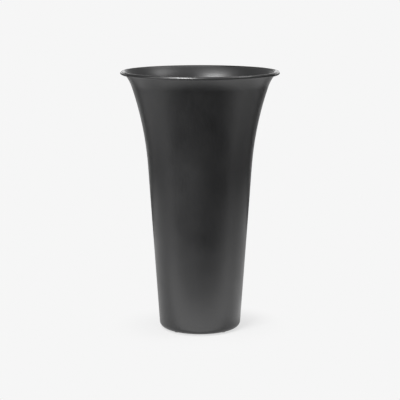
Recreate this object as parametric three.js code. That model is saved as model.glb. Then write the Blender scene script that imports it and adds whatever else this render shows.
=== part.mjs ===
// A tall flared vase of dark coated spun sheet metal.
//
// The wall is one sheet, spun open at both ends. It rises in a straight taper from the foot,
// flares in two tangent arcs and ends in an edge rolled outwards over a stiffening wire.
// At the foot the same sheet turns in to a flat flange. A pressed pan drops onto that flange
// and closes the bottom, a fillet of sealant round the pan's edge makes it hold water, and
// felt pads under the flange carry the vase.
//
// Units are millimetres and degrees. +Z is up, the axis of revolution is Z, and the origin is
// the centre of the vase's footprint on the surface that it stands on.
import * as THREE from "three";

// Overall sizes
const height = 380;
const rimDiameter = 230.4;
const footDiameter = 118.6; // where the line of the taper meets the underside of the flange
const sheet = 1.2; // wall thickness

// Angles of the wall from the vertical
const taperAngle = 3.96; // the straight lower wall
const flareAngle = 18.4; // where the long flare ends and the short one at the mouth begins
const lipAngle = 45; // where the sheet starts to roll over the wire

// Rolled rim
const mouthRadius = 53; // short flare under the rim, measured on the middle of the sheet
const wireDiameter = 2;
const wireClearance = 0.3;
const rollEndAngle = 335; // direction of the sheet where its cut edge stops, short of the wall

// Foot
const cornerRadius = 8; // outside
const flangeWidth = 13; // the flat ring that the pan rests on
const padThickness = 1.5;
const padMargin = 1; // flange left bare on each side of a pad
const padEdge = 0.3; // bevel round the underside of a pad
const padCount = 4;

// Base pan
const panSheet = 1.2;
const panDepth = 14; // from the pan's underside to its top edge
const panClearance = 0.3; // between the pan and the wall round it
const pressRise = 1.5; // the middle of the pan is pressed up by this, to stiffen it
const pressRadius = 3; // bends of that step, on the middle of the sheet
const pressMargin = 6; // from the flange's inner edge in to the step

// Sealant fillet above the pan's edge
const sealHeight = 3.4;
const sealFeather = 0.4; // thickness left at the fillet's two thin edges
const sealClearance = 0.3;

// Facets
const turnFacets = 64; // round the vase
const padFacets = 24;
const wireFacets = 8;

const radians = THREE.MathUtils.degToRad;

// A path of the middle of a bent sheet, seen in the half plane of radius and height. A heading
// is the angle from straight up, clockwise, so 0 is up, 90 is outwards and 180 is down.
class SheetPath {
  constructor(radius, z, heading) {
    this.stations = [{ radius, z, heading }];
  }

  get end() {
    return this.stations.at(-1);
  }

  straightTo(radius, z) {
    this.stations.push({ radius, z, heading: this.end.heading });
    return this;
  }

  // Bends along an arc, tangent to the path so far, until it points along a new heading.
  bendTo(heading, bendRadius, steps) {
    const from = this.end;
    const side = Math.sign(heading - from.heading);
    const centreRadius = from.radius + side * bendRadius * Math.cos(radians(from.heading));
    const centreZ = from.z - side * bendRadius * Math.sin(radians(from.heading));
    for (let i = 1; i <= steps; i += 1) {
      const angle = from.heading + ((heading - from.heading) * i) / steps;
      this.stations.push({
        radius: centreRadius - side * bendRadius * Math.cos(radians(angle)),
        z: centreZ + side * bendRadius * Math.sin(radians(angle)),
        heading: angle,
      });
    }
    return this;
  }

  // One face of the sheet: +1 is the outer or lower face, -1 the inner or upper one.
  face(side, thickness) {
    return this.stations.map(
      ({ radius, z, heading }) =>
        new THREE.Vector2(
          radius + side * (thickness / 2) * Math.cos(radians(heading)),
          z - side * (thickness / 2) * Math.sin(radians(heading)),
        ),
    );
  }

  // Out along the outer face and back along the inner one, which runs round the section.
  outline(thickness) {
    return [...this.face(1, thickness), ...this.face(-1, thickness).reverse()];
  }
}

// Turns a section round the vase's axis. A section with a bore is closed on itself.
function turned(section, facets = turnFacets) {
  const points = section[0].x > 0 ? [...section, section[0].clone()] : section;
  return new THREE.LatheGeometry(points, facets).rotateX(Math.PI / 2);
}

function named(name, geometry, material) {
  const mesh = new THREE.Mesh(geometry, material);
  mesh.name = name;
  return mesh;
}

// Sizes that follow from the ones above
const flangeTop = padThickness + sheet;
const taperSlope = Math.tan(radians(taperAngle));
const taperCos = Math.cos(radians(taperAngle));
const rollRadius = wireDiameter / 2 + wireClearance + sheet / 2; // middle of the rolled sheet
const rollReach = rollRadius + sheet / 2;
const rollCentre = new THREE.Vector2(rimDiameter / 2 - rollReach, height - rollReach);
const cornerCentre = new THREE.Vector2(
  footDiameter / 2 + cornerRadius * taperSlope - cornerRadius / taperCos,
  padThickness + cornerRadius,
);
const flangeInner = cornerCentre.x - flangeWidth;

// The long flare is the one arc that is tangent to the taper and to the short flare. The short
// flare is worked back from the roll, which leaves the arc's end. Its radius and the height
// where it begins then solve two equations in two unknowns.
function longFlare() {
  const taper = radians(taperAngle);
  const flare = radians(flareAngle);
  const lip = radians(lipAngle);
  const endRadius =
    rollCentre.x - rollRadius * Math.cos(lip) - mouthRadius * (Math.cos(flare) - Math.cos(lip));
  const endZ =
    rollCentre.y + rollRadius * Math.sin(lip) - mouthRadius * (Math.sin(lip) - Math.sin(flare));
  const rise = Math.sin(flare) - Math.sin(taper);
  const reach = Math.cos(taper) - Math.cos(flare);
  const middleAtFloor = footDiameter / 2 - padThickness * taperSlope - sheet / (2 * taperCos);
  const radius =
    (endRadius - middleAtFloor - taperSlope * endZ) / (reach - taperSlope * rise);
  const startZ = endZ - radius * rise;
  return { radius, startZ, startRadius: middleAtFloor + taperSlope * startZ };
}

function wallGeometry() {
  const flare = longFlare();
  const path = new SheetPath(flangeInner, padThickness + sheet / 2, 90)
    .straightTo(cornerCentre.x, padThickness + sheet / 2)
    .bendTo(taperAngle, cornerRadius - sheet / 2, 5)
    .straightTo(flare.startRadius, flare.startZ)
    .bendTo(flareAngle, flare.radius, 8)
    .bendTo(lipAngle, mouthRadius, 4)
    .bendTo(rollEndAngle, rollRadius, 12);
  return turned(path.outline(sheet));
}

function wireGeometry() {
  const torus = new THREE.TorusGeometry(rollCentre.x, wireDiameter / 2, wireFacets, turnFacets);
  return torus.translate(0, 0, rollCentre.y);
}

// The pan's corner has the radius of the wall's inside and starts one clearance further in.
const panBend = cornerRadius - sheet - panSheet / 2;
const panCorner = cornerCentre.x - panClearance;
const panEdge = flangeTop + panDepth;

function panPath() {
  const middle = flangeTop + panSheet / 2;
  const pressAngle = THREE.MathUtils.radToDeg(Math.acos(1 - pressRise / (2 * pressRadius)));
  const path = new SheetPath(0, middle + pressRise, 90)
    .straightTo(flangeInner - pressMargin - 2 * pressRadius * Math.sin(radians(pressAngle)),
      middle + pressRise)
    .bendTo(90 + pressAngle, pressRadius, 3)
    .bendTo(90, pressRadius, 3)
    .straightTo(panCorner, middle)
    .bendTo(taperAngle, panBend, 5);
  const { radius, z } = path.end;
  return path.straightTo(radius + (panEdge - z) * taperSlope, panEdge);
}

// The pan's top edge is trimmed level, so its last two points are moved along the taper.
function panGeometry() {
  const path = panPath();
  const outer = path.face(1, panSheet);
  const inner = path.face(-1, panSheet);
  for (const point of [outer.at(-1), inner.at(-1)]) {
    point.x += (panEdge - point.y) * taperSlope;
    point.y = panEdge;
  }
  return turned([...outer, ...inner.reverse()]);
}

// The fillet stands on the pan's edge and leans on the wall. Its open face is a hollow ellipse.
function sealGeometry() {
  const innerFoot = panPath().end.radius - panSheet / (2 * taperCos);
  const wallAtEdge =
    footDiameter / 2 + (panEdge - padThickness) * taperSlope - sheet / taperCos - sealClearance;
  const top = panEdge + sealHeight;
  const hollowWidth = wallAtEdge - innerFoot - sealFeather;
  const hollowHeight = sealHeight - sealFeather;
  const steps = 5;
  const hollow = [];
  for (let i = 0; i <= steps; i += 1) {
    const angle = (Math.PI / 2) * (i / steps);
    const lean = (1 - i / steps) * sealHeight * taperSlope;
    hollow.push(
      new THREE.Vector2(
        innerFoot + hollowWidth * Math.cos(angle) + lean,
        top - hollowHeight * Math.sin(angle),
      ),
    );
  }
  return turned([
    new THREE.Vector2(innerFoot, panEdge),
    new THREE.Vector2(wallAtEdge, panEdge),
    new THREE.Vector2(wallAtEdge + sealHeight * taperSlope, top),
    ...hollow,
  ]);
}

function padGeometry() {
  const radius = flangeWidth / 2 - padMargin;
  const section = [
    new THREE.Vector2(0, 0),
    new THREE.Vector2(radius - padEdge, 0),
    new THREE.Vector2(radius, padEdge),
    new THREE.Vector2(radius, padThickness),
    new THREE.Vector2(0, padThickness),
  ];
  return turned(section, padFacets);
}

const coating = { color: 0x3a3a3c, metalness: 0.55, roughness: 0.42 };
const vase = new THREE.Group();

vase.add(named("flared_wall", wallGeometry(), new THREE.MeshStandardMaterial(coating)));
vase.add(named("base_pan", panGeometry(), new THREE.MeshStandardMaterial(coating)));
vase.add(
  named(
    "rim_wire",
    wireGeometry(),
    new THREE.MeshStandardMaterial({ color: 0x9a9da0, metalness: 1, roughness: 0.35 }),
  ),
);
vase.add(
  named(
    "seam_seal",
    sealGeometry(),
    new THREE.MeshStandardMaterial({ color: 0x1c1c1d, metalness: 0, roughness: 0.6 }),
  ),
);

const felt = new THREE.MeshStandardMaterial({ color: 0x232325, metalness: 0, roughness: 1 });
const padCircle = flangeInner + flangeWidth / 2;
for (let i = 0; i < padCount; i += 1) {
  const pad = named(`felt_pad_${i + 1}`, padGeometry(), felt);
  const angle = (2 * Math.PI * (i + 0.5)) / padCount;
  pad.position.set(padCircle * Math.cos(angle), padCircle * Math.sin(angle), 0);
  vase.add(pad);
}

export default vase;
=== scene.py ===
"""A tall flared vase of dark coated spun sheet metal, on a pale floor in soft studio light.

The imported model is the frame. Each of its pieces is turned again here as a fine surface of
revolution, with the same sizes, and gets its finish. All lengths are metres, +Z is up, and the
axis of revolution is Z.
"""

from __future__ import annotations

import logging
import math
from dataclasses import dataclass, field
from enum import Enum

import bpy
import numpy as np
from bpy.types import Material, Object, World
from mathutils import Euler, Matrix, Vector


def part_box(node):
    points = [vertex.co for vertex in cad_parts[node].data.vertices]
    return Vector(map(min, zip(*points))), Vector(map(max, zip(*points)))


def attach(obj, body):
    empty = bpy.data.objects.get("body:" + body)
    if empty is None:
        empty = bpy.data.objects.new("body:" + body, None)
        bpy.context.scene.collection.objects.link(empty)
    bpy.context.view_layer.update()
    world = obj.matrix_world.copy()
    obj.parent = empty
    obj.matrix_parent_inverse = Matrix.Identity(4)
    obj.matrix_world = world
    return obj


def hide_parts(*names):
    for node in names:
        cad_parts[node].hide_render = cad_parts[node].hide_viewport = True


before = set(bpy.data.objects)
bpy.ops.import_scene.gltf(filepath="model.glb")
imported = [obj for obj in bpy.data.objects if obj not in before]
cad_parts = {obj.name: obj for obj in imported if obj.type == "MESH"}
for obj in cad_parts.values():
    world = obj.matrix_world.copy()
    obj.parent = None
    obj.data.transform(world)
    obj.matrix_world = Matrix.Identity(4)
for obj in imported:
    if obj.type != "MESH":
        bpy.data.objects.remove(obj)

MM = 0.001
TINY = 0.001
BODY = "root"
NOISE_SPAN = (0.25, 0.75)
CLOUDS_PER_METRE = 18.0
WHITE = (1.0, 1.0, 1.0, 1.0)

Socket = bpy.types.NodeSocket
Value = Socket | float | tuple[float, ...]
Colour = tuple[float, float, float]
Span = tuple[float, float]
Waves = tuple[tuple[int, float], ...]

log = logging.getLogger("vase")


class Slot(Enum):
    """The record's material slots."""

    COATING = "dark_coating"
    WIRE = "steel_wire"
    SEALANT = "sealant"
    FELT = "felt"


# Shapes: lines of bent sheet, sections and surfaces


@dataclass(frozen=True)
class SheetLine:
    """The middle line of a bent sheet, in the half plane of radius and height.

    A heading is the way that the line runs, in radians clockwise from straight up: 0 is up, a
    quarter turn is outwards and a half turn is down.
    """

    radius: np.ndarray
    height: np.ndarray
    heading: np.ndarray

    @classmethod
    def start(cls, radius: float, height: float, heading: float) -> SheetLine:
        """Begin a line with one point and the heading in which it sets off."""
        return cls(np.array([radius]), np.array([height]), np.array([heading]))

    def _joined(self, radius: np.ndarray, height: np.ndarray, heading: np.ndarray) -> SheetLine:
        """Return the line with more points after its end."""
        return SheetLine(
            np.append(self.radius, radius),
            np.append(self.height, height),
            np.append(self.heading, heading),
        )

    def straight(self, length: float, count: int) -> SheetLine:
        """Go straight on: each point is the end plus a share of the length along the heading.

        Args:
            length: How far to go.
            count: Points to add.

        Returns:
            The longer line.
        """
        travel = np.linspace(0.0, length, count + 1)[1:]
        heading = self.heading[-1]
        return self._joined(
            self.radius[-1] + travel * np.sin(heading),
            self.height[-1] + travel * np.cos(heading),
            np.full(count, heading),
        )

    def bend(self, heading: float, radius: float, count: int) -> SheetLine:
        """Go on along an arc that is tangent to the line's end.

        A clockwise arc's centre lies one radius to the right of the end. A point of the arc is
        the centre less the radius times (cos heading, -sin heading), and the other way round
        for an anticlockwise one.

        Args:
            heading: The way that the line runs when the arc ends.
            radius: The arc's radius.
            count: Points to add.

        Returns:
            The longer line.
        """
        first = self.heading[-1]
        side = math.copysign(1.0, heading - first)
        headings = np.linspace(first, heading, count + 1)[1:]
        reach = side * radius
        return self._joined(
            self.radius[-1] + reach * (math.cos(first) - np.cos(headings)),
            self.height[-1] + reach * (np.sin(headings) - math.sin(first)),
            headings,
        )

    def face(self, side: float, thickness: float) -> np.ndarray:
        """Offset the line by half a thickness along its normal, (cos heading, -sin heading).

        Args:
            side: 1 for the outer or lower face of the sheet, -1 for the inner or upper one.
            thickness: The sheet's thickness.

        Returns:
            Points of (radius, height).
        """
        offset = side * thickness / 2
        radius = self.radius + offset * np.cos(self.heading)
        height = self.height - offset * np.sin(self.heading)
        return np.column_stack((radius, height))

    def _cap(self, end: int, thickness: float, rounding: float) -> np.ndarray:
        """Round off a cut edge, from the outer face to the inner one.

        Each corner is a quarter circle about a point that lies one rounding in from the edge
        and from the face.

        Args:
            end: 0 for the edge at the line's start, -1 for the one at its end.
            thickness: The sheet's thickness.
            rounding: The quarter circles' radius.

        Returns:
            Points of (radius, height).
        """
        heading = self.heading[end]
        along = np.array([math.sin(heading), math.cos(heading)]) * (-1.0 if end == 0 else 1.0)
        across = np.array([math.cos(heading), -math.sin(heading)])
        tip = np.array([self.radius[end], self.height[end]])
        turn = np.linspace(0.0, math.pi / 2, 6)[:, None]
        inset = tip - rounding * along
        arm = thickness / 2 - rounding
        out = across * (arm + rounding * np.cos(turn))
        ahead = along * rounding * np.sin(turn)
        return np.vstack((inset + out + ahead, (inset - out + ahead)[::-1]))

    def section(self, thickness: float, rounding: float, from_axis: bool = False) -> np.ndarray:
        """Give the sheet its thickness: out on the outer face and back on the inner one.

        Args:
            thickness: The sheet's thickness.
            rounding: Radius that takes the sharpness off the cut edges.
            from_axis: Whether the line starts on the axis, where it has no edge.

        Returns:
            Points of (radius, height) round the section.
        """
        outer = self.face(1.0, thickness)
        inner = self.face(-1.0, thickness)[::-1]
        end = self._cap(-1, thickness, rounding)
        if from_axis:
            return np.vstack((outer[:-1], end, inner[1:]))
        start = self._cap(0, thickness, rounding)[::-1]
        return np.vstack((outer[1:-1], end, inner[1:-1], start))


def full_turn(steps: int) -> np.ndarray:
    """Return the angles of even steps round a full turn, from 0."""
    return np.arange(steps) * (2 * math.pi / steps)


def turned(section: np.ndarray, segments: int) -> np.ndarray:
    """Turn a section round the axis: a point (r, z) becomes (r cos a, r sin a, z) at angle a.

    Args:
        section: Points of (radius, height).
        segments: Steps round the axis.

    Returns:
        A grid of points, one row for each angle.
    """
    angle = full_turn(segments)
    radius, height = section.T
    x, y = np.outer(np.cos(angle), radius), np.outer(np.sin(angle), radius)
    return np.stack((x, y, np.broadcast_to(height, x.shape)), axis=-1)


def scene_object(name: str, data: bpy.types.ID) -> Object:
    """Make an object of a mesh, a light or a camera, and add it to the scene."""
    new = bpy.data.objects.new(name, data)
    bpy.context.scene.collection.objects.link(new)
    return new


def mesh_object(name: str, vertices: np.ndarray, faces: list[list[int]]) -> Object:
    """Make a mesh and add it to the scene.

    Args:
        name: Name of the mesh and of its object.
        vertices: Points, as an array of rows of 3.
        faces: The points of each face.

    Returns:
        The new object, at the origin.
    """
    mesh = bpy.data.meshes.new(name)
    mesh.from_pydata(vertices.tolist(), [], faces)
    return scene_object(name, mesh)


def surface(name: str, grid: np.ndarray, has_poles: bool) -> Object:
    """Stitch a grid of points into a closed mesh with its faces outwards.

    The grid closes on itself along its first direction, the turn. Along its second it either
    closes too or runs from pole to pole, and then its first and last columns are one point each.

    Args:
        name: The object's name.
        grid: Points, as an array of turn by section by 3.
        has_poles: Whether the section starts and ends on the axis of the turn.

    Returns:
        The new object, at the origin.
    """
    turns, across, _ = grid.shape
    if has_poles:
        vertices = np.vstack((grid[:, 1:-1].reshape(-1, 3), grid[0, 0], grid[0, -1]))
        across -= 2
    else:
        vertices = grid.reshape(-1, 3)
    index = np.arange(turns * across).reshape(turns, across)
    after = np.roll(index, -1, axis=0)
    if has_poles:
        corners = (index[:, :-1], after[:, :-1], after[:, 1:], index[:, 1:])
    else:
        corners = (index, after, np.roll(after, -1, axis=1), np.roll(index, -1, axis=1))
    faces = np.stack([c.ravel() for c in corners], axis=-1).tolist()
    if has_poles:
        first, last = turns * across, turns * across + 1
        faces += np.column_stack((np.full(turns, first), after[:, 0], index[:, 0])).tolist()
        faces += np.column_stack((index[:, -1], after[:, -1], np.full(turns, last))).tolist()
    piece = mesh_object(name, vertices, faces)
    mesh = piece.data
    mesh.polygons.foreach_set("use_smooth", np.ones(len(faces), bool))
    mesh.validate()
    mesh.update()
    if signed_volume(mesh) < 0:
        mesh.flip_normals()
    return piece


def signed_volume(mesh: bpy.types.Mesh) -> float:
    """Add up the tetrahedra from the origin to each triangle, dot(a, cross(b, c)) / 6.

    Args:
        mesh: A closed mesh.

    Returns:
        Its volume, negative where the faces point inwards.
    """
    mesh.calc_loop_triangles()
    points = np.empty(len(mesh.vertices) * 3, np.float32)
    mesh.vertices.foreach_get("co", points)
    corners = np.empty(len(mesh.loop_triangles) * 3, np.int32)
    mesh.loop_triangles.foreach_get("vertices", corners)
    a, b, c = points.reshape(-1, 3)[corners.reshape(-1, 3)].transpose(1, 0, 2).astype(float)
    return float(np.einsum("ij,ij->", a, np.cross(b, c)) / 6)


# Finishes


class Ramp(Enum):
    """How a mapped value runs from its start to its end."""

    STRAIGHT = "LINEAR"
    SOFT = "SMOOTHSTEP"


class Graph:
    """The node tree of a material or the world, with short ways to add nodes and join them."""

    def __init__(self, owner: Material | World) -> None:
        """Clear the owner's tree, but for an output.

        Args:
            owner: The material or the world.
        """
        owner.use_nodes = True
        self.owner = owner
        self.tree = owner.node_tree
        self.tree.nodes.clear()
        is_world = isinstance(owner, World)
        self.output = self.add("OutputWorld" if is_world else "OutputMaterial")

    @classmethod
    def for_material(cls, name: str) -> Graph:
        """Start the tree of a new material."""
        return cls(bpy.data.materials.new(name))

    def add(self, kind: str, **settings: object) -> bpy.types.Node:
        """Add a node and set its properties.

        Args:
            kind: The node's type, without its ShaderNode prefix.
            settings: Values of the node's own properties.

        Returns:
            The new node.
        """
        node = self.tree.nodes.new("ShaderNode" + kind)
        for name, value in settings.items():
            setattr(node, name, value)
        return node

    def feed(self, target: Socket, source: Value) -> None:
        """Give a socket its value.

        Args:
            target: The socket.
            source: The socket that feeds it, or a fixed value.
        """
        if isinstance(source, Socket):
            self.tree.links.new(source, target)
        else:
            target.default_value = source

    def result(self, kind: str, *values: Value, **settings: object) -> Socket:
        """Add a node and feed the sockets that its settings leave in use, in order.

        Args:
            kind: The node's type, without its ShaderNode prefix.
            values: What goes into it.
            settings: Values of the node's own properties.

        Returns:
            What comes out.
        """
        node = self.add(kind, **settings)
        targets = [socket for socket in node.inputs if socket.enabled]
        for target, source in zip(targets, values):
            self.feed(target, source)
        return next(socket for socket in node.outputs if socket.enabled)

    def maths(self, operation: str, *values: Socket | float) -> Socket:
        """Work out one operation on numbers."""
        return self.result("Math", *values, operation=operation)

    def place(self) -> Socket:
        """Return the point on the piece, in metres."""
        return self.add("TexCoord").outputs["Object"]

    def split_place(self) -> tuple[Socket, ...]:
        """Return the x, y and z of the point on the piece."""
        parts = self.add("SeparateXYZ")
        self.feed(parts.inputs[0], self.place())
        return tuple(parts.outputs)

    def rings(self, stretch: float) -> Socket:
        """Make a point that only depends on radius and height, so that noise on it makes rings.

        Args:
            stretch: What the radius and the height are multiplied by.

        Returns:
            The point (radius, height, 0) times the stretch.
        """
        x, y, z = self.split_place()
        squares = (self.maths("MULTIPLY", part, part) for part in (x, y))
        radius = self.maths("SQRT", self.maths("ADD", *squares))
        stretched = (self.maths("MULTIPLY", part, stretch) for part in (radius, z))
        return self.result("CombineXYZ", *stretched)

    def noise(self, point: Socket, scale: float, detail: float) -> Socket:
        """Add fractal noise, about 0.5 on average.

        Args:
            point: Where it is read.
            scale: Cycles for each unit of the point.
            detail: Octaves.

        Returns:
            The noise.
        """
        node = self.add("TexNoise", noise_dimensions="3D")
        self.feed(node.inputs["Vector"], point)
        self.feed(node.inputs["Scale"], scale)
        self.feed(node.inputs["Detail"], detail)
        return node.outputs["Fac"]

    def ramp(self, value: Socket, span: Span, target: Span, kind: Ramp) -> Socket:
        """Map one span of values to another, and hold the ends beyond it.

        On the way, a straight ramp follows t, and a soft one 3 t t - 2 t t t, where t goes from
        0 to 1.

        Args:
            value: What is mapped.
            span: Values where the ramp starts and ends.
            target: What these become.
            kind: How it runs between them.

        Returns:
            The mapped value.
        """
        return self.result("MapRange", value, *span, *target, interpolation_type=kind.value)

    def spread(self, noise: Socket, middle: float, swing: float) -> Socket:
        """Map noise from its usual span to that from middle - swing to middle + swing."""
        return self.ramp(noise, NOISE_SPAN, (middle - swing, middle + swing), Ramp.STRAIGHT)

    def bump(self, height: Socket, depth: float, under: Socket | None = None) -> Socket:
        """Add relief to the surface.

        Args:
            height: Height as a share of the depth.
            depth: Depth of the relief in metres.
            under: Normal of the relief that this one lies on.

        Returns:
            The normal.
        """
        node = self.add("Bump")
        self.feed(node.inputs["Strength"], 1.0)
        self.feed(node.inputs["Distance"], depth)
        self.feed(node.inputs["Height"], height)
        if under is not None:
            self.feed(node.inputs["Normal"], under)
        return node.outputs["Normal"]

    def shade(self, colour: Colour, variation: float) -> Socket:
        """Cloud a colour slightly: the colour times a factor round 1 that follows noise.

        Args:
            colour: The mean colour.
            variation: How far the factor goes from 1.

        Returns:
            The clouded colour.
        """
        clouds = self.noise(self.place(), scale=CLOUDS_PER_METRE, detail=4.0)
        factor = self.spread(clouds, 1.0, variation)
        return self.result("VectorMath", colour, factor, operation="SCALE")

    def above(self, low: float, high: float, unevenness: float, per_metre: float) -> Socket:
        """Follow the height, shifted up or down by noise, with a soft step.

        Args:
            low: Height where the step leaves 0.
            high: Height where it reaches 1.
            unevenness: How far the noise shifts the height.
            per_metre: Cycles of the noise in a metre.

        Returns:
            The step, from 0 to 1.
        """
        height = self.split_place()[2]
        noise = self.noise(self.place(), scale=per_metre, detail=3.0)
        shifted = self.maths("ADD", height, self.spread(noise, 0.0, unevenness))
        return self.ramp(shifted, (low, high), (0.0, 1.0), Ramp.SOFT)

    def mix(self, share: Socket, first: Socket, second: Colour | float) -> Socket:
        """Go from one colour or value to a fixed one.

        Args:
            share: How far to go, from 0 to 1.
            first: What it is at 0.
            second: What it is at 1: three numbers for a colour.

        Returns:
            The mixture.
        """
        is_colour = isinstance(second, tuple)
        last = (*second, 1.0) if is_colour else second
        return self.result("Mix", share, first, last, data_type="RGBA" if is_colour else "FLOAT")

    def shader(self, kind: str, **values: Value) -> Socket:
        """Add a shader.

        Args:
            kind: The node's type, without its ShaderNode prefix.
            values: What its sockets get, with the spaces of their names as underscores.

        Returns:
            Its result.
        """
        node = self.add(kind)
        for name, value in values.items():
            self.feed(node.inputs[name.replace("_", " ")], value)
        return node.outputs[0]

    def choose(self, share: Socket, first: Socket, second: Socket) -> Socket:
        """Mix two shaders: all of the first at a share of 0, and all of the second at 1."""
        return self.result("MixShader", share, first, second)

    def shows_background(self) -> Socket:
        """Tell the rays that show the background from the others.

        Returns:
            1 for the camera's rays and for reflected and transmitted ones, otherwise 0.
        """
        rays = self.add("LightPath").outputs
        seen = self.maths("MAXIMUM", rays["Is Camera Ray"], rays["Is Glossy Ray"])
        return self.maths("MAXIMUM", seen, rays["Is Transmission Ray"])

    def close(self, shader: Socket) -> Material | World:
        """Feed the output with a shader, and return what the tree belongs to."""
        self.feed(self.output.inputs["Surface"], shader)
        return self.owner


@dataclass(frozen=True)
class DarkCoating:
    """Satin near-black coating on spun sheet: fine grain, faint rings left by the spinning.

    On the upper half of the rolled rim, hands have rubbed the coat thin, and it shines darkly
    like the metal under it. The rubbed band's heights count from the middle of the roll.
    """

    roll_middle: float

    colour: Colour = (0.0120, 0.0121, 0.0127)
    clouding: float = 0.05
    specular: float = 0.6
    roughness: float = 0.36
    roughness_swing: float = 0.04
    smudges_per_metre: float = 35.0
    grain_size: float = 0.45 * MM
    grain_depth: float = 0.018 * MM
    peel_size: float = 3.5 * MM
    peel_depth: float = 0.03 * MM
    ring_pitch: float = 1.3 * MM
    ring_depth: float = 0.018 * MM
    rubbed_colour: Colour = (0.10, 0.10, 0.10)
    rubbed_roughness: float = 0.30
    rubbed_from: float = -0.6 * MM
    rubbed_full: float = 0.8 * MM
    rubbed_unevenness: float = 0.25 * MM
    rubbed_waves_per_metre: float = 90.0

    def material(self) -> Material:
        """Build the finish: grain over the flow of the coat over rings, smudges, the rubbed band.

        Returns:
            The material.
        """
        graph = Graph.for_material("satin_dark_coating")
        rings = graph.noise(graph.rings(1.0 / self.ring_pitch), scale=1.0, detail=2.0)
        peel = graph.noise(graph.place(), scale=1.0 / self.peel_size, detail=1.0)
        grain = graph.noise(graph.place(), scale=1.0 / self.grain_size, detail=2.0)
        relief = graph.bump(rings, self.ring_depth)
        relief = graph.bump(peel, self.peel_depth, under=relief)
        relief = graph.bump(grain, self.grain_depth, under=relief)
        smudges = graph.noise(graph.place(), scale=self.smudges_per_metre, detail=5.0)
        start, full = self.roll_middle + self.rubbed_from, self.roll_middle + self.rubbed_full
        rubbed = graph.above(start, full, self.rubbed_unevenness, self.rubbed_waves_per_metre)
        colour = graph.mix(rubbed, graph.shade(self.colour, self.clouding), self.rubbed_colour)
        roughness = graph.spread(smudges, self.roughness, self.roughness_swing)
        shader = graph.shader(
            "BsdfPrincipled",
            Base_Color=colour,
            Roughness=graph.mix(rubbed, roughness, self.rubbed_roughness),
            Normal=relief,
            Metallic=rubbed,
            Specular_IOR_Level=self.specular,
        )
        return graph.close(shader)


@dataclass(frozen=True)
class DrawnSteel:
    """Bright drawn wire with fine marks along it and a little dullness in patches."""

    colour: Colour = (0.55, 0.56, 0.58)
    clouding: float = 0.08
    roughness: float = 0.32
    roughness_swing: float = 0.08
    patches_per_metre: float = 120.0
    mark_size: float = 0.12 * MM
    mark_depth: float = 0.003 * MM

    def material(self) -> Material:
        """Build the finish: the marks follow the ring, because they depend on radius and height.

        Returns:
            The material.
        """
        graph = Graph.for_material("drawn_steel_wire")
        marks = graph.noise(graph.rings(1.0 / self.mark_size), scale=1.0, detail=3.0)
        patches = graph.noise(graph.place(), scale=self.patches_per_metre, detail=4.0)
        shader = graph.shader(
            "BsdfPrincipled",
            Base_Color=graph.shade(self.colour, self.clouding),
            Roughness=graph.spread(patches, self.roughness, self.roughness_swing),
            Normal=graph.bump(marks, self.mark_depth),
            Metallic=1.0,
        )
        return graph.close(shader)


@dataclass(frozen=True)
class SmoothedSealant:
    """Black sealant, smoothed with a wet finger: satin skin with shallow drag marks."""

    colour: Colour = (0.022, 0.022, 0.023)
    clouding: float = 0.06
    specular: float = 0.45
    roughness: float = 0.43
    roughness_swing: float = 0.07
    skin_per_metre: float = 260.0
    drag_size: float = 0.6 * MM
    drag_depth: float = 0.02 * MM

    def material(self) -> Material:
        """Build the finish: drag marks run round the fillet, over a soft unevenness.

        Returns:
            The material.
        """
        graph = Graph.for_material("smoothed_black_sealant")
        drag = graph.noise(graph.rings(1.0 / self.drag_size), scale=1.0, detail=2.0)
        skin = graph.noise(graph.place(), scale=self.skin_per_metre, detail=3.0)
        shader = graph.shader(
            "BsdfPrincipled",
            Base_Color=graph.shade(self.colour, self.clouding),
            Roughness=graph.spread(skin, self.roughness, self.roughness_swing),
            Normal=graph.bump(skin, self.drag_depth, under=graph.bump(drag, self.drag_depth)),
            Metallic=0.0,
            Specular_IOR_Level=self.specular,
        )
        return graph.close(shader)


@dataclass(frozen=True)
class PressedFelt:
    """Dark pressed felt: matted fibres, no gloss, a soft sheen at grazing angles."""

    colour: Colour = (0.036, 0.036, 0.038)
    clouding: float = 0.25
    specular: float = 0.2
    sheen: float = 0.35
    sheen_roughness: float = 0.5
    roughness: float = 0.95
    roughness_swing: float = 0.05
    fibre_size: float = 0.16 * MM
    fibre_depth: float = 0.12 * MM

    def material(self) -> Material:
        """Build the finish: fine fibres over mats four times as large, as two noises.

        Returns:
            The material.
        """
        graph = Graph.for_material("pressed_dark_felt")
        mats = graph.noise(graph.place(), scale=0.25 / self.fibre_size, detail=4.0)
        fibres = graph.noise(graph.place(), scale=1.0 / self.fibre_size, detail=5.0)
        shader = graph.shader(
            "BsdfPrincipled",
            Base_Color=graph.shade(self.colour, self.clouding),
            Roughness=graph.spread(fibres, self.roughness, self.roughness_swing),
            Normal=graph.bump(fibres, self.fibre_depth, under=graph.bump(mats, self.fibre_depth)),
            Metallic=0.0,
            Specular_IOR_Level=self.specular,
            Sheen_Weight=self.sheen,
            Sheen_Roughness=self.sheen_roughness,
        )
        return graph.close(shader)


# Pieces


def dress(piece: Object, finish: Material, stands_for: str) -> None:
    """Give a piece its finish and put it in the place of its solid.

    Args:
        piece: The piece.
        finish: Its material.
        stands_for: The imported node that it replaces.
    """
    piece.data.materials.append(finish)
    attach(piece, BODY)
    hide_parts(stands_for)
    log.info("%s: %d faces, stands for %s", piece.name, len(piece.data.polygons), stands_for)


def arc(radius: float, height: float, size: float, angle: np.ndarray) -> np.ndarray:
    """Return the points (radius + size cos angle, height + size sin angle) of an arc."""
    return np.column_stack((radius + size * np.cos(angle), height + size * np.sin(angle)))


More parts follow.
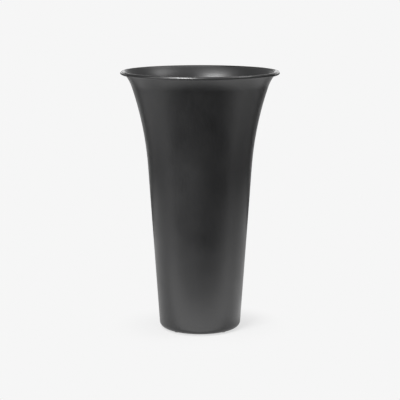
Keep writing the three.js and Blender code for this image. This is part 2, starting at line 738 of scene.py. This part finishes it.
def ripple(angle: np.ndarray, waves: Waves, seed: int) -> np.ndarray:
    """Add up sine waves that close round the turn, each with a phase of its own.

    Args:
        angle: Angles round the axis.
        waves: Pairs of waves in a turn and amplitude.
        seed: What fixes the phases.

    Returns:
        The sum at each angle.
    """
    phases = np.random.default_rng(seed).uniform(0.0, 2 * math.pi, len(waves))
    counts = np.array([count for count, _ in waves])[:, None]
    amplitudes = np.array([amplitude for _, amplitude in waves])
    return amplitudes @ np.sin(counts * angle[None, :] + phases[:, None])


@dataclass
class SpunWall:
    """The wall: turned-in flange, rounded foot, straight taper, flared mouth, rolled edge."""

    rim_diameter: float
    height: float
    foot_height: float
    foot_diameter: float = 118.6 * MM
    sheet: float = 1.2 * MM
    taper: float = math.radians(3.96)
    flare: float = math.radians(18.4)
    lip: float = math.radians(45.0)
    mouth_radius: float = 53.0 * MM
    wire_diameter: float = 2.0 * MM
    wire_clearance: float = 0.3 * MM
    roll_end: float = math.radians(335.0)
    corner_radius: float = 8.0 * MM
    flange_width: float = 13.0 * MM
    edge_rounding: float = 0.3 * MM
    segments: int = 256

    @property
    def roll_radius(self) -> float:
        """Radius of the roll, on the middle of the sheet."""
        return self.wire_diameter / 2 + self.wire_clearance + self.sheet / 2

    @property
    def roll_centre(self) -> tuple[float, float]:
        """Radius and height of the roll's centre, and of the wire's."""
        reach = self.roll_radius + self.sheet / 2
        return self.rim_diameter / 2 - reach, self.height - reach

    @property
    def corner_centre(self) -> float:
        """Radius of the foot's corner centre, where the flange goes level."""
        slant = self.corner_radius * math.tan(self.taper)
        return self.foot_diameter / 2 + slant - self.corner_radius / math.cos(self.taper)

    @property
    def flange_inner(self) -> float:
        """Radius of the flange's inner edge."""
        return self.corner_centre - self.flange_width

    def inside_at(self, height: float) -> float:
        """Radius of the straight taper's inner face at a height."""
        rise = (height - self.foot_height) * math.tan(self.taper)
        return self.foot_diameter / 2 + rise - self.sheet / math.cos(self.taper)

    def long_flare(self) -> tuple[float, float]:
        """Find the arc that is tangent to the taper and to the mouth's short flare.

        The mouth's arc is worked back from the roll to where the long flare ends. The long
        flare's radius R and starting height z then follow from its rise, R (sin flare - sin
        taper), its reach, R (cos taper - cos flare), and the line of the taper.

        Returns:
            The arc's radius, and the height where it starts.
        """
        sin, cos = math.sin, math.cos
        centre_radius, centre_height = self.roll_centre
        end_radius = centre_radius - self.roll_radius * cos(self.lip)
        end_radius -= self.mouth_radius * (cos(self.flare) - cos(self.lip))
        end_height = centre_height + self.roll_radius * sin(self.lip)
        end_height -= self.mouth_radius * (sin(self.lip) - sin(self.flare))
        slope = math.tan(self.taper)
        at_floor = self.foot_diameter / 2 - self.foot_height * slope
        at_floor -= self.sheet / (2 * cos(self.taper))
        rise = sin(self.flare) - sin(self.taper)
        reach = cos(self.taper) - cos(self.flare)
        radius = (end_radius - at_floor - slope * end_height) / (reach - slope * rise)
        return radius, end_height - radius * rise

    def line(self) -> SheetLine:
        """Run the middle of the sheet from the flange's inner edge to the end of the roll.

        Returns:
            The line.
        """
        flare_radius, flare_start = self.long_flare()
        middle = self.foot_height + self.sheet / 2
        foot = (
            SheetLine.start(self.flange_inner, middle, math.pi / 2)
            .straight(self.flange_width, count=10)
            .bend(self.taper, self.corner_radius - self.sheet / 2, count=20)
        )
        length = (flare_start - foot.height[-1]) / math.cos(self.taper)
        return (
            foot.straight(length, count=40)
            .bend(self.flare, flare_radius, count=40)
            .bend(self.lip, self.mouth_radius, count=24)
            .bend(self.roll_end, self.roll_radius, count=44)
        )

    def build(self, finish: Material) -> None:
        """Turn the wall and dress it."""
        grid = turned(self.line().section(self.sheet, self.edge_rounding), self.segments)
        dress(surface("spun_wall", grid, has_poles=False), finish, "flared_wall")


@dataclass
class RimWire:
    """The wire ring that the edge is rolled over."""

    wall: SpunWall
    facets: int = 20

    def section(self) -> np.ndarray:
        """Return the wire's round section, in the middle of the roll."""
        return arc(*self.wall.roll_centre, self.wall.wire_diameter / 2, full_turn(self.facets))

    def build(self, finish: Material) -> None:
        """Turn the wire and dress it."""
        grid = turned(self.section(), self.wall.segments)
        dress(surface("stiffening_wire", grid, has_poles=False), finish, "rim_wire")


@dataclass
class BasePan:
    """The pressed pan that closes the bottom."""

    wall: SpunWall
    sheet: float = 1.2 * MM
    depth: float = 14.0 * MM
    clearance: float = 0.3 * MM
    press_rise: float = 1.5 * MM
    press_radius: float = 3.0 * MM
    press_margin: float = 6.0 * MM

    @property
    def underside(self) -> float:
        """Height of the pan's underside, on top of the wall's flange."""
        return self.wall.foot_height + self.wall.sheet

    @property
    def edge(self) -> float:
        """Height of the pan's top edge."""
        return self.underside + self.depth

    @property
    def inside(self) -> float:
        """Radius of the pan's inner face at its top edge."""
        gap = self.clearance + self.sheet / math.cos(self.wall.taper)
        return self.wall.inside_at(self.edge) - gap

    def line(self) -> SheetLine:
        """Run the middle of the sheet from the axis over the pressed step and up the side.

        Returns:
            The line.
        """
        wall = self.wall
        level = math.pi / 2
        middle = self.underside + self.sheet / 2
        press_angle = math.acos(1 - self.press_rise / (2 * self.press_radius))
        step = 2 * self.press_radius * math.sin(press_angle)
        floor = (
            SheetLine.start(0.0, middle + self.press_rise, level)
            .straight(wall.flange_inner - self.press_margin - step, count=14)
            .bend(level + press_angle, self.press_radius, count=8)
            .bend(level, self.press_radius, count=8)
        )
        corner = wall.corner_centre - self.clearance
        bend_radius = wall.corner_radius - wall.sheet - self.sheet / 2
        seat = floor.straight(corner - floor.radius[-1], count=10)
        side = seat.bend(wall.taper, bend_radius, count=16)
        return side.straight((self.edge - side.height[-1]) / math.cos(wall.taper), count=6)

    def build(self, finish: Material) -> None:
        """Turn the pan and dress it.

        Args:
            finish: Its material.
        """
        section = self.line().section(self.sheet, self.wall.edge_rounding, from_axis=True)
        grid = turned(section, self.wall.segments)
        dress(surface("pressed_pan", grid, has_poles=True), finish, "base_pan")


@dataclass
class SealFillet:
    """The hand-smoothed fillet of sealant between the pan's edge and the wall."""

    pan: BasePan
    height: float = 3.4 * MM
    feather: float = 0.4 * MM
    clearance: float = 0.3 * MM
    unevenness: float = 0.12 * MM
    waves: Waves = ((3, 0.3), (7, 0.3), (16, 0.25), (29, 0.15))
    seed: int = 7
    steps: int = 18

    def grid(self) -> np.ndarray:
        """Work out the fillet as a function of the turn and of the way round its section.

        The open face is a hollow quarter ellipse between the two feathered edges, and its
        hollow swells and shrinks round the vase by a ripple. The other sides follow the pan's
        edge and the wall.

        Returns:
            A grid of points, as surface() takes it.
        """
        wall = self.pan.wall
        slope = math.tan(wall.taper)
        bottom, top = self.pan.edge, self.pan.edge + self.height
        inner, outer = self.pan.inside, wall.inside_at(self.pan.edge) - self.clearance
        turns = full_turn(wall.segments)
        swell = ripple(turns, self.waves, self.seed)[:, None]
        share = np.linspace(0.0, 1.0, self.steps)[None, :]
        bulge = self.unevenness * swell * np.sin(share * math.pi)
        across = outer - inner - self.feather + bulge
        down = self.height - self.feather + bulge
        lean = (1.0 - share) * self.height * slope
        hollow_radius = inner + across * np.cos(share * math.pi / 2) + lean
        hollow_height = top - down * np.sin(share * math.pi / 2)
        along = np.linspace(0.0, 1.0, self.steps // 2)
        over_edge = inner + along[:-1] * (outer - inner)
        plain_radius = np.append(over_edge, outer + along * self.height * slope)
        plain_height = np.append(np.full_like(over_edge, bottom), bottom + along * self.height)
        radius = np.hstack((np.tile(plain_radius, (len(turns), 1)), hollow_radius))
        height = np.hstack((np.tile(plain_height, (len(turns), 1)), hollow_height))
        cos, sin = np.cos(turns)[:, None], np.sin(turns)[:, None]
        return np.stack((radius * cos, radius * sin, height), axis=-1)

    def build(self, finish: Material) -> None:
        """Stitch the fillet and dress it."""
        piece = surface("sealant_fillet", self.grid(), has_poles=False)
        dress(piece, finish, "seam_seal")


@dataclass
class FeltPads:
    """The felt pads under the flange, punched from one sheet."""

    wall: SpunWall
    count: int = 4
    margin: float = 1.0 * MM
    edge: float = 0.3 * MM
    fuzz: float = 0.05 * MM
    waves: Waves = ((5, 0.35), (11, 0.3), (23, 0.2), (37, 0.15))
    seed: int = 20
    segments: int = 96

    @property
    def radius(self) -> float:
        """Radius of a pad, which stays inside the flange by the margin."""
        return self.wall.flange_width / 2 - self.margin

    def section(self) -> np.ndarray:
        """Run from the middle of the underside round the soft edge to the middle of the top.

        The lower edge is a quarter circle with the edge's radius, and the upper one is a
        quarter circle of half that.

        Returns:
            Points of (radius, height).
        """
        radius = self.radius
        top = self.wall.foot_height
        half = self.edge / 2
        outwards = np.linspace(0.0, radius - self.edge, 14)[:-1]
        inwards = np.linspace(radius - half, 0.0, 6)[1:]
        low = np.linspace(-math.pi / 2, 0.0, 7)
        high = np.linspace(0.0, math.pi / 2, 5)
        return np.vstack(
            (
                np.column_stack((outwards, np.zeros_like(outwards))),
                arc(radius - self.edge, self.edge, self.edge, low),
                arc(radius - half, top - half, half, high),
                np.column_stack((inwards, np.full_like(inwards, top))),
            )
        )

    def grid(self, index: int) -> np.ndarray:
        """Turn one pad about its own middle, rough its rim, and move it to its place.

        The rim's radius grows and shrinks by a ripple, in proportion to the distance from the
        pad's middle. The pads stand evenly on a circle, half a step round from the X axis.

        Args:
            index: Which pad, from 0.

        Returns:
            A grid of points, as surface() takes it.
        """
        grid = turned(self.section(), self.segments)
        angle = full_turn(self.segments)
        rough = 1.0 + ripple(angle, self.waves, self.seed + index) * self.fuzz / self.radius
        grid[..., :2] *= rough[:, None, None]
        turn = 2 * math.pi * (index + 0.5) / self.count
        circle = self.wall.flange_inner + self.wall.flange_width / 2
        return grid + np.array([circle * math.cos(turn), circle * math.sin(turn), 0.0])

    def build(self, finish: Material) -> None:
        """Make and dress every pad.

        Args:
            finish: Their material.
        """
        for i in range(self.count):
            piece = surface(f"felt_disc_{i + 1}", self.grid(i), has_poles=True)
            dress(piece, finish, f"felt_pad_{i + 1}")


# Studio


def stage_sheet(name: str, points: np.ndarray, finish: Material) -> Object:
    """Make a sheet of the stage from a grid of points.

    Args:
        name: The object's name.
        points: Points, as an array of rows by columns by 3.
        finish: Its material.

    Returns:
        The new object, marked as part of the stage.
    """
    rows, columns, _ = points.shape
    index = np.arange(rows * columns).reshape(rows, columns)
    corners = (index[:-1, :-1], index[1:, :-1], index[1:, 1:], index[:-1, 1:])
    faces = np.stack([c.ravel() for c in corners], axis=-1).tolist()
    sheet = mesh_object(name, points.reshape(-1, 3), faces)
    sheet.data.materials.append(finish)
    return sheet


def area_light(
    name: str,
    place: tuple[float, float, float] | Vector,
    turn: tuple[float, float, float] | Euler,
    size: Span,
    brightness: float,
) -> None:
    """Add a rectangular light that the camera doesn't see.

    Args:
        name: The object's name.
        place: Its middle.
        turn: Its rotation.
        size: Its width and height.
        brightness: How bright its face looks, where 1 is white.
    """
    data = bpy.data.lights.new(name, "AREA")
    data.shape = "RECTANGLE"
    data.size, data.size_y = size
    data.energy = brightness * math.pi * size[0] * size[1]
    light = scene_object(name, data)
    light.location = place
    light.rotation_euler = turn
    light.visible_camera = False


@dataclass(frozen=True)
class Softbox:
    """A rectangular soft light, aimed at the middle of the vase.

    Its place is a bearing from the camera's side, positive to the right, an angle above level
    and a distance.
    """

    name: str
    bearing: float
    elevation: float
    distance: float
    size: Span
    brightness: float
    aim_height: float = 0.2

    def build(self) -> None:
        """Hang the light and turn it to the vase."""
        bearing, elevation = math.radians(self.bearing), math.radians(self.elevation)
        level = self.distance * math.cos(elevation)
        rise = self.distance * math.sin(elevation)
        arm = Vector((level * math.sin(bearing), -level * math.cos(bearing), rise))
        place = arm + Vector((0.0, 0.0, self.aim_height))
        turn = (-arm).to_track_quat("-Z", "Y").to_euler()
        area_light(self.name, place, turn, self.size, self.brightness)


@dataclass(frozen=True)
class FootLight:
    """A narrow soft light that lies on the table before the foot and faces up."""

    place: tuple[float, float, float] = (0.0, -0.111, 0.003)
    size: Span = (0.70, 0.098)
    brightness: float = 0.82

    def build(self) -> None:
        """Lay the light down."""
        area_light("foot_light", self.place, (math.pi, 0.0, 0.0), self.size, self.brightness)


@dataclass(frozen=True)
class PaleFloor:
    """A level pale floor that fades into a background of the same tone.

    The light level is how bright white paper on it would look.
    """

    reach: float = 30.0
    cells: int = 8
    tone: float = 0.9216
    shadow_share: float = 0.23
    shadow_span: Span = (0.05, 0.14)
    light_level: float = 1.12
    paper: float = 0.80

    def material(self) -> Material:
        """Build the floor's finish.

        The camera and reflections see the plain tone. Near the vase a share of it is lit paper
        instead, so that the shadow shows. All other light bounces off lit paper.

        Returns:
            The material.
        """
        graph = Graph.for_material("pale_floor")
        distance = graph.result("VectorMath", graph.place(), operation="LENGTH")
        share = graph.ramp(distance, self.shadow_span, (self.shadow_share, 0.0), Ramp.SOFT)
        lit = graph.maths("MULTIPLY", share, self.light_level)
        glow = graph.shader("Emission", Strength=graph.maths("SUBTRACT", self.tone, lit))
        seen = graph.result("AddShader", glow, graph.shader("BsdfDiffuse", Color=share))
        paper = graph.shader("BsdfDiffuse", Color=(self.paper, self.paper, self.paper, 1.0))
        return graph.close(graph.choose(graph.shows_background(), paper, seen))

    def build(self) -> None:
        """Lay the floor: a grid of points (x, y, 0)."""
        side = np.linspace(-self.reach, self.reach, self.cells + 1)
        x, y = np.meshgrid(side, side, indexing="ij")
        points = np.stack((x, y, np.zeros_like(x)), axis=-1)
        stage_sheet("studio_floor", points, self.material())


@dataclass(frozen=True)
class PaintedPanel:
    """A painted reflection on the round wall: its bearings, angles above level and tone."""

    name: str
    bearings: Span
    elevations: Span
    tone: float


@dataclass(frozen=True)
class PaintedPool:
    """A painted pool of light on the table or the floor, by its two spans and its tone."""

    name: str
    x: Span
    y: Span
    tone: float


@dataclass(frozen=True)
class PaintedReflectionRoom:
    """What the coating mirrors beyond the table, and nothing else sees.

    These sheets are painted reflections: they glow, or stay black, for reflections alone and
    light nothing. They stand for a lit table in a dim round room, so that the satin coating
    mirrors pale up to the table's edge, dark beyond it, and brighter where a window or a paler
    wall would stand. A tone of 1 is white.
    """

    table_x: Span = (-0.90, 0.80)
    table_y: Span = (-0.30, 0.60)
    lift: float = 0.002
    steps: int = 96
    panel_rows: int = 8
    radius: float = 2.6
    wall_gap: float = 0.026
    eye_height: float = 0.2
    ceiling: float = 4.8
    # Painted reflections: panels that glow, up to five times as bright as white, for reflections
    # alone.
    panels: tuple[PaintedPanel, ...] = (
        PaintedPanel("low_window_reflection", (-75.0, 0.0), (0.0, 15.0), 5.0),
        PaintedPanel("low_wall", (0.0, 60.0), (0.0, 15.0), 0.7),
        PaintedPanel("bright_backdrop_reflection", (140.0, 220.0), (7.0, 15.0), 2.75),
        PaintedPanel("front_wall", (-75.0, 120.0), (15.0, 60.0), 0.43),
        PaintedPanel("back_wall", (120.0, 285.0), (15.0, 60.0), 0.33),
    )
    # Painted pools of light on the table and the floor, seen in reflections alone.
    pools: tuple[PaintedPool, ...] = (
        PaintedPool("floor_behind", (-0.90, 0.80), (1.0, 2.6), 0.92),
        PaintedPool("painted_light_pool_right", (0.08, 0.30), (-0.06, 0.10), 1.28),
        PaintedPool("painted_light_pool_front", (0.40, 0.80), (-0.22, -0.06), 1.17),
    )

    def table_edge(self, angle: np.ndarray) -> np.ndarray:
        """Find where rays from the table's middle leave it.

        A point is the middle plus the ray's direction times the least distance to a side. A
        part of the direction under TINY counts as TINY, so that nothing is divided by 0.

        Args:
            angle: The rays' angles.

        Returns:
            Points of (x, y, z).
        """
        low, high = np.array([self.table_x, self.table_y]).T
        ray = np.column_stack((np.cos(angle), np.sin(angle)))
        reach = np.min((high - low) / 2 / np.maximum(np.abs(ray), TINY), axis=1)
        edge = (low + high) / 2 + ray * reach[:, None]
        return np.column_stack((edge, np.full(len(angle), self.lift)))

    def shell(self) -> np.ndarray:
        """Run from the table's edge over the floor, up the wall and over the ceiling.

        Beyond the table each row is a circle, (r cos a, r sin a, z).

        Returns:
            A grid of points, as stage_sheet() takes it.
        """
        angle = np.linspace(0.0, 2 * math.pi, 4 * self.steps + 1)
        rows = [self.table_edge(angle)]
        outside = self.radius + self.wall_gap
        for radius, height in (
            (outside, self.lift),
            (outside, self.ceiling),
            (self.lift, self.ceiling),
        ):
            circle = (radius * np.cos(angle), radius * np.sin(angle), np.full(len(angle), height))
            rows.append(np.column_stack(circle))
        return np.stack(rows)

    def patch(self, panel: PaintedPanel) -> np.ndarray:
        """Lay a panel on the wall: (r sin b, -r cos b, eye + r tan e) for bearing b, elevation e.

        Args:
            panel: The panel.

        Returns:
            A grid of points, as stage_sheet() takes it.
        """
        bearings = np.radians(np.linspace(*panel.bearings, self.steps + 1))
        slopes = np.tan(np.radians(np.linspace(*panel.elevations, self.panel_rows + 1)))
        bearing, slope = np.meshgrid(bearings, slopes, indexing="ij")
        x, y = self.radius * np.sin(bearing), -self.radius * np.cos(bearing)
        return np.stack((x, y, self.eye_height + self.radius * slope), axis=-1)

    def rectangle(self, pool: PaintedPool) -> np.ndarray:
        """Return the corners (x, y, z) of a pool of light, just above the dark shell."""
        x, y = np.meshgrid(pool.x, pool.y, indexing="ij")
        return np.stack((x, y, np.full_like(x, 2 * self.lift)), axis=-1)

    def hang_painted_reflection(self, name: str, points: np.ndarray, tone: float) -> None:
        """Make a sheet that glows and shows in reflections alone.

        Args:
            name: Its name.
            points: Its grid of points.
            tone: How bright it is.
        """
        graph = Graph.for_material(name)
        glow = graph.close(graph.shader("Emission", Strength=tone))
        sheet = stage_sheet(name, points, glow)
        for rays in ("camera", "diffuse", "transmission", "shadow"):
            setattr(sheet, "visible_" + rays, False)

    def build(self) -> None:
        """Put up the painted reflections: the dark shell, the panels and the pools of light."""
        self.hang_painted_reflection("painted_dark_shell", self.shell(), 0.0)
        for panel in self.panels:
            self.hang_painted_reflection(panel.name, self.patch(panel), panel.tone)
        for pool in self.pools:
            self.hang_painted_reflection(pool.name, self.rectangle(pool), pool.tone)


@dataclass(frozen=True)
class Camera:
    """The photograph's viewing angle: level across, looking a little down from 2 m away."""

    distance: float = 2.0033
    height: float = 0.5339
    pitch: float = math.radians(9.728)
    focal_pixels: float = 1384.3
    frame_pixels: float = 400.0
    sensor: float = 36.0

    def build(self) -> None:
        """Set the camera up, with the lens that gives the focal length in frame pixels."""
        data = bpy.data.cameras.new("camera")
        data.sensor_width = self.sensor
        data.lens = self.sensor * self.focal_pixels / self.frame_pixels
        camera = scene_object("camera", data)
        camera.location = (0.0, -self.distance, self.height)
        camera.rotation_euler = Euler((math.pi / 2 - self.pitch, 0.0, 0.0))
        bpy.context.scene.camera = camera


@dataclass
class Studio:
    """The floor, the lights, the room's own light and the camera."""

    room_light: float = 0.20
    floor: PaleFloor = field(default_factory=PaleFloor)
    # Painted reflections: glowing and black sheets that only the coating's reflections see.
    room: PaintedReflectionRoom = field(default_factory=PaintedReflectionRoom)
    camera: Camera = field(default_factory=Camera)
    foot_light: FootLight = field(default_factory=FootLight)
    softboxes: tuple[Softbox, ...] = (
        Softbox("key_softbox", -30.0, 44.0, 1.60, (0.6, 0.6), 20.8),
        Softbox("right_softbox", 90.0, 54.0, 1.60, (0.4, 0.4), 7.35),
        Softbox("left_softbox", -40.0, 62.0, 1.60, (0.8, 0.8), 1.9),
        Softbox("top_softbox", 90.0, 78.0, 1.60, (1.4, 1.4), 0.84),
    )

    def world(self) -> World:
        """Build the room: the background's tone where it is seen, a dimmer light elsewhere.

        Returns:
            The world.
        """
        graph = Graph(bpy.data.worlds.new("studio_room"))
        dim = graph.shader("Background", Color=WHITE, Strength=self.room_light)
        pale = graph.shader("Background", Color=WHITE, Strength=self.floor.tone)
        return graph.close(graph.choose(graph.shows_background(), dim, pale))

    def build(self) -> None:
        """Set up the studio."""
        scene = bpy.context.scene
        scene.view_settings.view_transform = "Standard"
        scene.world = self.world()
        self.floor.build()
        self.room.build()
        self.foot_light.build()
        for softbox in self.softboxes:
            softbox.build()
        self.camera.build()


def wall_from_frame() -> SpunWall:
    """Read the wall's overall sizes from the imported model.

    Returns:
        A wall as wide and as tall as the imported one, standing at the same height.
    """
    low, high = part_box("flared_wall")
    return SpunWall(rim_diameter=high.x - low.x, height=high.z, foot_height=low.z)


def main() -> None:
    """Build the vase piece by piece, then the studio."""
    logging.basicConfig(level=logging.INFO, format="%(name)s: %(message)s")
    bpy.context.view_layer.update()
    wall = wall_from_frame()
    pan = BasePan(wall)
    coating = DarkCoating(roll_middle=wall.roll_centre[1]).material()
    wall.build(coating)
    pan.build(coating)
    RimWire(wall).build(DrawnSteel().material())
    SealFillet(pan).build(SmoothedSealant().material())
    FeltPads(wall).build(PressedFelt().material())
    Studio().build()


if __name__ == "__main__":
    main()
